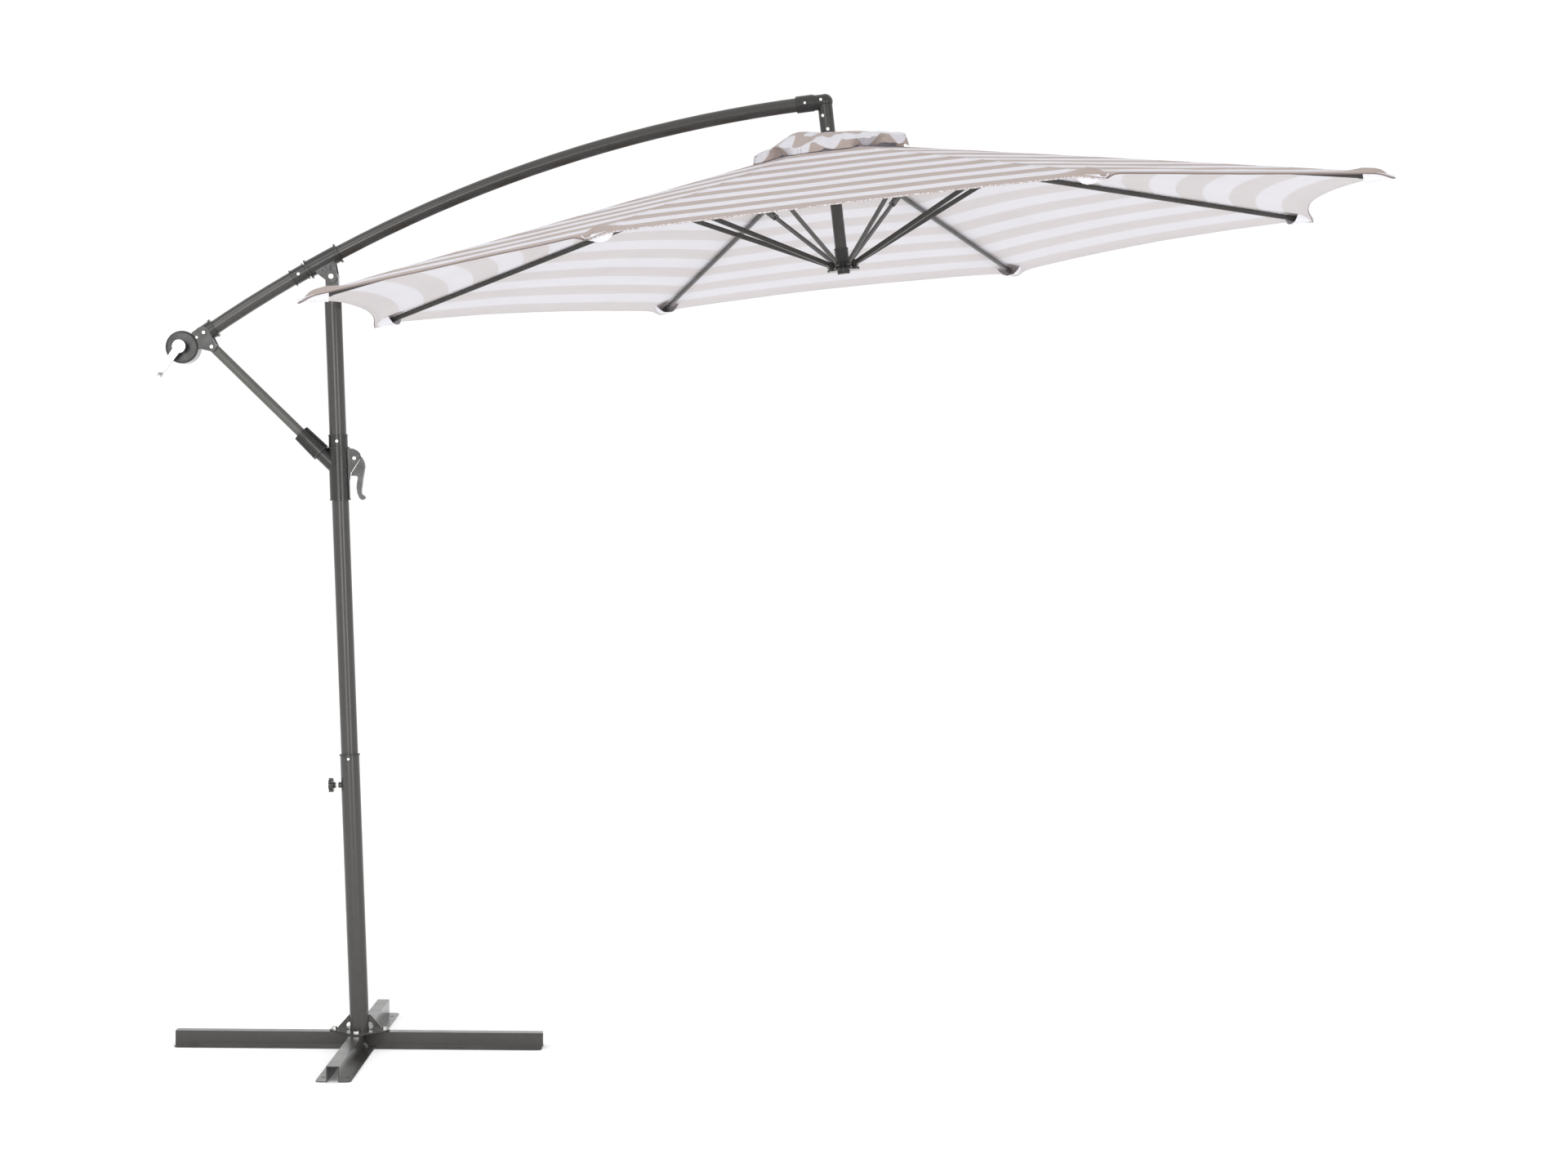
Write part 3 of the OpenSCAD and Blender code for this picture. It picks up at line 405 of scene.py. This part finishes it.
def plain_cloth(name, base):
    """Hem tape or pocket cloth, one colour, woven."""
    material, tree, shader = new_material(name)
    place = object_place(tree)
    shade = remap(tree, noise_node(tree, place, 30, 4), 0.3, 0.7, 0, 0.2)
    colour = mix_colour(tree, shade, base, tuple(0.85 * c for c in base))
    tree.links.new(colour, shader.inputs["Base Color"])
    shader.inputs["Roughness"].default_value = 0.8
    threads = add(tree, "ShaderNodeTexWave", bands_direction="DIAGONAL")
    threads.inputs["Scale"].default_value = 180
    tree.links.new(place, threads.inputs["Vector"])
    bump(tree, shader, threads.outputs["Fac"], 0.2, 0.0005)
    return material


STEEL = powder_coat("powder_coat", (0.04, 0.0385, 0.0355), 0.19)
# The brace gets a paler copy of the frame's powder coat: painted light, for the brace catching more light than the
# other tubes
BRACE_STEEL_PAINTED_LIGHT = powder_coat("brace_coat_painted_light", (0.075, 0.074, 0.068), 0.35)
PLASTIC = moulded_plastic("moulded_plastic", (0.021, 0.0205, 0.0195), 0.24)
ZINC = plated_metal("zinc_plate", (0.78, 0.78, 0.76), 0.22, 0.16)
CHROME = plated_metal("chrome_plate", (0.62, 0.62, 0.63), 0.09, 0.08)
CLOTH_TOP = striped_cloth("cover_cloth", (0.75, 0.74, 0.785), (0.47, 0.39, 0.36), 0.22)
# The underside is a paler copy of the cover cloth: painted light, standing in for light that comes through the
# cloth from above
CLOTH_UNDER_PAINTED_LIGHT = striped_cloth("cover_cloth_under_painted_light", (0.86, 0.85, 0.885), (0.79, 0.755, 0.765), 0.26)
CAP_CLOTH = striped_cloth("cap_cloth", (0.76, 0.755, 0.8), (0.49, 0.41, 0.38), 0.2, 0.05)
BINDING = plain_cloth("binding_tape", (0.2, 0.16, 0.15))
POCKET = plain_cloth("pocket_cloth", (0.78, 0.775, 0.82))

BY_SLOT = {"frame_steel": STEEL, "dark_plastic": PLASTIC, "zinc": ZINC, "chrome": CHROME}


def finish_frame():
    """Gives each carried-over node its material."""
    slots = {part["node"]: part["material_slot"] for part in frame["record"]["subparts"]}
    for name, node in NODES.items():
        # The brace takes the paler copy of the coat, which is painted light
        material = BRACE_STEEL_PAINTED_LIGHT if name == "brace_tube" else BY_SLOT.get(slots[name])
        if material:
            node.data.materials.clear()
            node.data.materials.append(material)


# ------------------------------------------------------------ mesh helpers

# Edges sharper than this stay crisp
CRISP = math.radians(50)

# Which side of a cloth a face is on, which is also its material number
ABOVE, BELOW, RIM = 0, 1, 2


def link(name, data):
    """A new object in the scene."""
    made = bpy.data.objects.new(name, data)
    bpy.context.scene.collection.objects.link(made)
    return made


def make_object(name, points, faces, materials, kinds):
    """A mesh object from points in the canopy frame and each face's material number."""
    mesh = bpy.data.meshes.new(name)
    mesh.from_pydata([CANOPY @ Vector(p) for p in points], [], faces)
    for material in materials:
        mesh.materials.append(material)
    mesh.polygons.foreach_set("material_index", kinds)
    mesh.polygons.foreach_set("use_smooth", [True] * len(mesh.polygons))
    mesh.set_sharp_from_angle(angle=CRISP)
    mesh.update()
    return link(name, mesh)


def set_uv(piece, name, values):
    """Writes a UV map given per vertex."""
    layer = piece.data.uv_layers.new(name=name)
    corners = [0] * len(piece.data.loops)
    piece.data.loops.foreach_get("vertex_index", corners)
    flat = []
    for vertex in corners:
        flat.extend(values[vertex])
    layer.data.foreach_set("uv", flat)


def cloth_grid(rows, columns, top, thickness):
    """Closed thin solid over a grid of points: its points, its faces and which
    side each face is on."""
    grid = [[top(i, j) for j in range(columns)] for i in range(rows)]
    normals = [[None] * columns for _ in range(rows)]
    for i in range(rows):
        for j in range(columns):
            down = grid[min(i + 1, rows - 1)][j] - grid[max(i - 1, 0)][j]
            along = grid[i][min(j + 1, columns - 1)] - grid[i][max(j - 1, 0)]
            normals[i][j] = down.cross(along).normalized()
    cells = [(i, j) for i in range(rows) for j in range(columns)]
    points = [grid[i][j] for i, j in cells]
    count = len(points)
    points += [grid[i][j] - thickness(i, j) * normals[i][j] for i, j in cells]
    faces, kinds = [], []
    for i in range(rows - 1):
        for j in range(columns - 1):
            a, b = i * columns + j, i * columns + j + 1
            c, d = a + columns, b + columns
            faces.append((a, c, d, b))
            kinds.append(ABOVE)
            faces.append((count + a, count + b, count + d, count + c))
            kinds.append(BELOW)
    border = list(range(columns))
    border += [i * columns + columns - 1 for i in range(1, rows)]
    border += [(rows - 1) * columns + j for j in range(columns - 2, -1, -1)]
    border += [i * columns for i in range(rows - 2, 0, -1)]
    outer = (rows - 1) * columns
    for a, b in zip(border, border[1:] + border[:1]):
        faces.append((a, b, count + b, count + a))
        kinds.append(RIM if a >= outer and b >= outer else BELOW)
    return points, faces, kinds


def tube_along(path, radius, sides):
    """Points and faces of a closed round cord of cloth along a path."""
    points, faces = [], []
    for i, centre in enumerate(path):
        ahead = path[min(i + 1, len(path) - 1)] - path[max(i - 1, 0)]
        ahead.normalize()
        across = ahead.cross(Vector((0, 0, 1))).normalized()
        up = across.cross(ahead)
        for s in range(sides):
            turn = math.tau * s / sides
            points.append(centre + radius * (math.cos(turn) * across + math.sin(turn) * up))
    for i in range(len(path) - 1):
        for s in range(sides):
            a, b = i * sides + s, i * sides + (s + 1) % sides
            faces.append((a, b, b + sides, a + sides))
    faces.append(tuple(range(sides - 1, -1, -1)))
    last = (len(path) - 1) * sides
    faces.append(tuple(range(last, last + sides)))
    return points, faces


# ------------------------------------------------------------ cover

HALF_COLUMNS = 18
ROWS = 60
# The seam stands up a little along the rib, and the last rows are hemmed
SEAM_RISE = 0.0008
HEM_FROM = ROWS - 3
HEM_EXTRA = 0.0012
# Round tape sewn along the rim, just below its top face
TAPE_R = 0.0018
TAPE_DROP = 0.001
TAPE_SIDES = 8
# Panel whose tape is of the cover's own cloth
FRONT_PANEL = 6


def column_t(j):
    """Place of column j in its half panel: 0 at the panel's middle, 1 at the rib,
    closer together towards the rib."""
    return 1 - (1 - j / HALF_COLUMNS) ** 1.7


def row_rho(i):
    """Place of row i between the vent and the rim, closer together at the rim."""
    share = i / (ROWS - 1)
    return VENT + (1 - VENT) * (1 - (1 - share) ** 1.25)


def section_place(k, i, j):
    """Panel, rho and t of a section's grid point; j runs over both half panels."""
    if j <= HALF_COLUMNS:
        return k - 1, row_rho(i), column_t(j)
    return k, row_rho(i), -column_t(2 * HALF_COLUMNS - j)


def rim_tape(k, rim):
    """Points, faces and sides of the tape along section k's rim."""
    points, faces = tube_along(rim, TAPE_R, TAPE_SIDES)
    kinds = []
    for face in faces:
        place = section_place(k, ROWS - 1, min(min(face) // TAPE_SIDES, len(rim) - 2))
        kinds.append(ABOVE if place[0] == FRONT_PANEL else RIM)
    return points, faces, kinds


def section_uv(k, columns):
    """The 'cut' and 'seam' coordinates of section k's grid."""
    cut, seam = [], []
    for i in range(ROWS):
        for j in range(columns):
            _, rho, t = section_place(k, i, j)
            edge = CORNER_R * math.sin(HALF) * rho
            cut.append(((1 - rho) * SLANT, edge * t))
            side = 1 if j > HALF_COLUMNS else -1
            seam.append((rho * CORNER_R, side * (1 - abs(t)) * edge))
    return cut, seam


def cover_section(k):
    """The cover over rib k, from the middle of one panel to the middle of the next."""
    columns = 2 * HALF_COLUMNS + 1

    def top(i, j):
        panel, rho, t = section_place(k, i, j)
        point = cover_point(panel, rho, t)
        if abs(j - HALF_COLUMNS) <= 1:
            point.z += SEAM_RISE
        return point

    def thickness(i, j):
        return CLOTH + (HEM_EXTRA if i >= HEM_FROM else 0)

    points, faces, kinds = cloth_grid(ROWS, columns, top, thickness)
    rim = [top(ROWS - 1, j) - Vector((0, 0, TAPE_DROP)) for j in range(columns)]
    tape_points, tape_faces, tape_kinds = rim_tape(k, rim)
    start = len(points)
    points += tape_points
    faces += [tuple(start + v for v in face) for face in tape_faces]
    kinds += tape_kinds
    cut, seam = section_uv(k, columns)
    # Faces below take the paler underside copy, which is painted light
    piece = make_object(f"cover_{k}", points, faces, [CLOTH_TOP, CLOTH_UNDER_PAINTED_LIGHT, BINDING], kinds)
    # The tape takes the colour at the rim, away from any stitches
    set_uv(piece, "cut", cut + cut + [(0.0, 0.0)] * len(tape_points))
    set_uv(piece, "seam", seam + seam + [(0.0, 0.1)] * len(tape_points))
    return piece


def place_section(piece, k, keep, *nodes):
    """Puts a piece on rib k and hides the given nodes."""
    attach(piece, f"rib_{k}")
    if nodes:
        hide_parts(*nodes)
    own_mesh(piece)


def make_cover():
    """Eight sections that meet without a gap, and the corner pockets."""
    for k in RIBS:
        piece = cover_section(k)
        pocket = corner_pocket(k)
        place_section(piece, k, CLOSED_WIDTH, f"canopy_{k}")
        place_section(pocket, k, 0.5)


# ------------------------------------------------------------ pockets

# Where a pocket starts and ends, back from the cover's corner
POCKET_BACK = (0.078, 0.002)
# Half its width at the start, how much it narrows, and how deep it hangs
POCKET_HALF = 0.038
POCKET_TAPER = 0.026
POCKET_DEPTH = 0.0275


def corner_pocket(k):
    """Cloth pocket under the cover's corner that takes the rib's tip."""
    rows, columns = 15, 19
    start, end = CORNERS[k] - POCKET_BACK[0], CORNERS[k] - POCKET_BACK[1]
    out, across = level(azimuth(k)), level(azimuth(k) + math.pi / 2)

    def top(i, j):
        share = i / (rows - 1)
        u = 2 * j / (columns - 1) - 1
        half = POCKET_HALF - POCKET_TAPER * share ** 1.5
        side = half * u
        radial = start + (end - start) * share
        depth = -(radial + abs(side) * math.tan(HALF)) * math.tan(RIB_SLOPE) - CLOTH
        depth -= POCKET_DEPTH * (1 - 0.75 * share) * (1 - abs(u) ** 2.2)
        depth += 0.0022 * wave(34 * share, 6 * u, 3 * k) * (1 - abs(u) ** 3)
        radial += 0.006 * abs(u) * (1 - share)
        return out * radial + across * side + Vector((0, 0, depth))

    points, faces, kinds = cloth_grid(rows, columns, top, lambda i, j: THIN_CLOTH)
    return make_object(f"corner_pocket_{k}", points, faces, [POCKET] * 3, kinds)


# ------------------------------------------------------------ vent cap

# The cap's reach, its hole round the pole, and where its middle ends
CAP_R = 0.222
CAP_INNER = 0.019
CAP_SPLIT = 0.062
# Height of the cap over the cover's peak, and its fall towards the rim
CAP_LIFT = 0.024
CAP_FALL = 0.045
# How close the cap may come to the cover
CAP_CLEAR = 0.003
# The hanging hem is a few rows deep
HEM_ROWS = 5
HEM_STEP = 0.005
# Where a deep fold carries the stripes away
FOLD_AT = math.radians(-115)


def cap_point(r, a):
    """Rumpled cap surface in the canopy frame, at radius share r from 0 at the
    pole to 1 at the rim, and azimuth a."""
    spread = math.cos(HALF) / math.cos((a + HALF) % (2 * HALF) - HALF)
    corner = 0.5 + 0.5 * math.cos(8 * (a - HALF))
    radius = CAP_INNER + (CAP_R * (0.93 * spread + 0.07) - CAP_INNER) * r
    point = level(a) * radius
    x, y = math.cos(a), math.sin(a)
    lift = CAP_LIFT - CAP_FALL * r ** 1.7
    lift += r * r * 0.016 * max(0.0, x) ** 2
    lift += 0.017 * math.exp(-(((point.x + 0.085) / 0.05) ** 2) - ((point.y + 0.055) / 0.075) ** 2)
    lift += r ** 3 * 0.012 * (0.5 - corner) * (1 + 0.8 * wave(1.3 * x, 1.3 * y, 4))
    lift += 0.008 * r * r * wave(6 * x, 6 * y, 3 * r + 2)
    lift += 0.004 * r * wave(11 * x, 11 * y, 6 * r)
    return point + Vector((0, 0, lift))


def hem_drop(a, step):
    """Offset of the cap's hanging hem at azimuth a, a number of steps below the rim."""
    tuck = ramp(math.sin(5 * a + 0.6) + 0.7 * wave(2 * math.cos(a), 2 * math.sin(a), 8), 0.2, 0.9)
    outward = (0.0012 - 0.0062 * tuck) * step
    return level(a) * outward - Vector((0, 0, HEM_STEP * (1 - 0.1 * tuck) * step))


def cover_height(point):
    """Height of the stretched cover at a point's place."""
    reach = max(point.dot(level(math.radians(45 * k))) for k in RIBS)
    return -reach * math.tan(RIB_SLOPE) / math.cos(HALF)


def stripe_shift(a):
    """How far the cap's folds carry its stripes up from the hem at azimuth a."""
    fold = math.exp(-((((a - FOLD_AT + math.pi) % math.tau - math.pi) / 0.15) ** 4))
    return 0.013 - 0.019 * math.cos(12 * a + 3.4) * (1 - fold) + 0.07 * fold


def cap_piece(name, from_share, to_share, rows, start, end, columns, flap):
    """Part of the cap between two radius shares and two azimuths, with a hem flap if asked."""
    total = rows + (HEM_ROWS if flap else 0)

    def share_and_azimuth(i, j):
        share = from_share + (to_share - from_share) * min(i, rows - 1) / (rows - 1)
        return share, start + (end - start) * j / (columns - 1)

    def top(i, j):
        r, a = share_and_azimuth(i, j)
        point = cap_point(r, a)
        if i >= rows:
            point += hem_drop(a, i - rows + 1)
        point.z = max(point.z, cover_height(point) + CAP_CLEAR)
        return point

    points, faces, kinds = cloth_grid(total, columns, top, lambda i, j: THIN_CLOTH)
    piece = make_object(name, points, faces, [CAP_CLOTH] * 3, kinds)
    cut, seam = [], []
    for i in range(total):
        for j in range(columns):
            r, a = share_and_azimuth(i, j)
            away = (a - azimuth(0) + HALF) % (2 * HALF) - HALF
            drop = HEM_STEP * max(0, i - rows + 1)
            depth = CAP_R * (1 - r) + HEM_ROWS * HEM_STEP - drop + stripe_shift(a)
            cut.append((depth, CAP_R * r * away))
            seam.append((CAP_R * r, CAP_R * r * away))
    set_uv(piece, "cut", cut + cut)
    set_uv(piece, "seam", seam + seam)
    return piece


def make_cap():
    """A fixed middle round the pole and a skirt section on each rib."""
    split = (CAP_SPLIT - CAP_INNER) / (CAP_R - CAP_INNER)
    middle = cap_piece("cap_middle", 0.0, split, 6, 0.0, math.tau, 97, False)
    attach(middle, "arm")
    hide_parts("vent_cap")
    for k in RIBS:
        a = azimuth(k)
        skirt = cap_piece(f"cap_skirt_{k}", split, 1.0, 16, a - HALF, a + HALF, 25, True)
        place_section(skirt, k, 0.3)


# ------------------------------------------------------------ stage


# The photograph's camera, 7.8 m in front of the part: yaw, pitch and roll
CAMERA_PLACE = (1.081, -7.831, 1.489)
CAMERA_TURN = (math.radians(0.495), math.radians(-1.646), math.radians(0.548))
LENS = 65.97
SENSOR = 36

# Half the side of the floor, and what the tall lamps are aimed at
FLOOR_HALF = 60
MAST_MIDDLE = (-0.06, 0, 1.5)
SOFTBOX_HEIGHT = 3.6


def make_camera():
    """Camera at the photograph's place."""
    yaw, pitch, roll = CAMERA_TURN
    aside, forward = math.sin(yaw), math.cos(yaw)
    ahead = Vector((aside * math.cos(pitch), forward * math.cos(pitch), math.sin(pitch)))
    across = Vector((forward, -aside, 0))
    above = across.cross(ahead)
    right = math.cos(roll) * across + math.sin(roll) * above
    up = right.cross(ahead)
    data = bpy.data.cameras.new("camera")
    data.sensor_width = SENSOR
    data.lens = LENS
    data.clip_end = 200
    camera = link("camera", data)
    matrix = Matrix((right, up, -ahead)).transposed().to_4x4()
    matrix.translation = Vector(CAMERA_PLACE)
    camera.matrix_world = matrix
    bpy.context.scene.camera = camera


def make_floor():
    """Wide pale floor."""
    mesh = bpy.data.meshes.new("floor")
    sides = ((-1, -1), (1, -1), (1, 1), (-1, 1))
    corners = [(FLOOR_HALF * x, FLOOR_HALF * y, 0) for x, y in sides]
    mesh.from_pydata(corners, [], [(0, 1, 2, 3)])
    material, _, shader = new_material("floor_paper")
    shader.inputs["Base Color"].default_value = (0.95, 0.95, 0.95, 1)
    shader.inputs["Roughness"].default_value = 0.9
    shader.inputs["Emission Color"].default_value = (1, 1, 1, 1)
    shader.inputs["Emission Strength"].default_value = 0.12
    shader.inputs["Specular IOR Level"].default_value = 0.1
    mesh.materials.append(material)
    floor = link("floor", mesh)


def area_light(name, place, target, size, power, height=None):
    """Soft lamp, square unless a height is given."""
    data = bpy.data.lights.new(name, "AREA")
    data.size = size
    if height:
        data.shape = "RECTANGLE"
        data.size_y = height
    data.energy = power
    lamp = link(name, data)
    lamp.location = place
    lamp.rotation_mode = "QUATERNION"
    lamp.rotation_quaternion = (Vector(target) - Vector(place)).to_track_quat("-Z", "Y")


def make_lights():
    """White surroundings, a key lamp, and two tall softboxes that streak the tubes."""
    world = bpy.data.worlds.new("studio")
    world.use_nodes = True
    back = world.node_tree.nodes["Background"]
    back.inputs["Color"].default_value = (1, 1, 1, 1)
    back.inputs["Strength"].default_value = 1.02
    bpy.context.scene.world = world
    area_light("key", (-3.5, -5, 5.5), (0.8, 0, 1.6), 3.5, 90)
    area_light("softbox_left", (-1.28, -8.92, 1.9), MAST_MIDDLE, 2.7, 115, SOFTBOX_HEIGHT)
    area_light("softbox_right", (5.24, -7.27, 1.9), MAST_MIDDLE, 2.3, 100, SOFTBOX_HEIGHT)


bpy.context.scene.view_settings.view_transform = "Standard"
finish_frame()
make_cover()
make_cap()
make_camera()
make_floor()
make_lights()
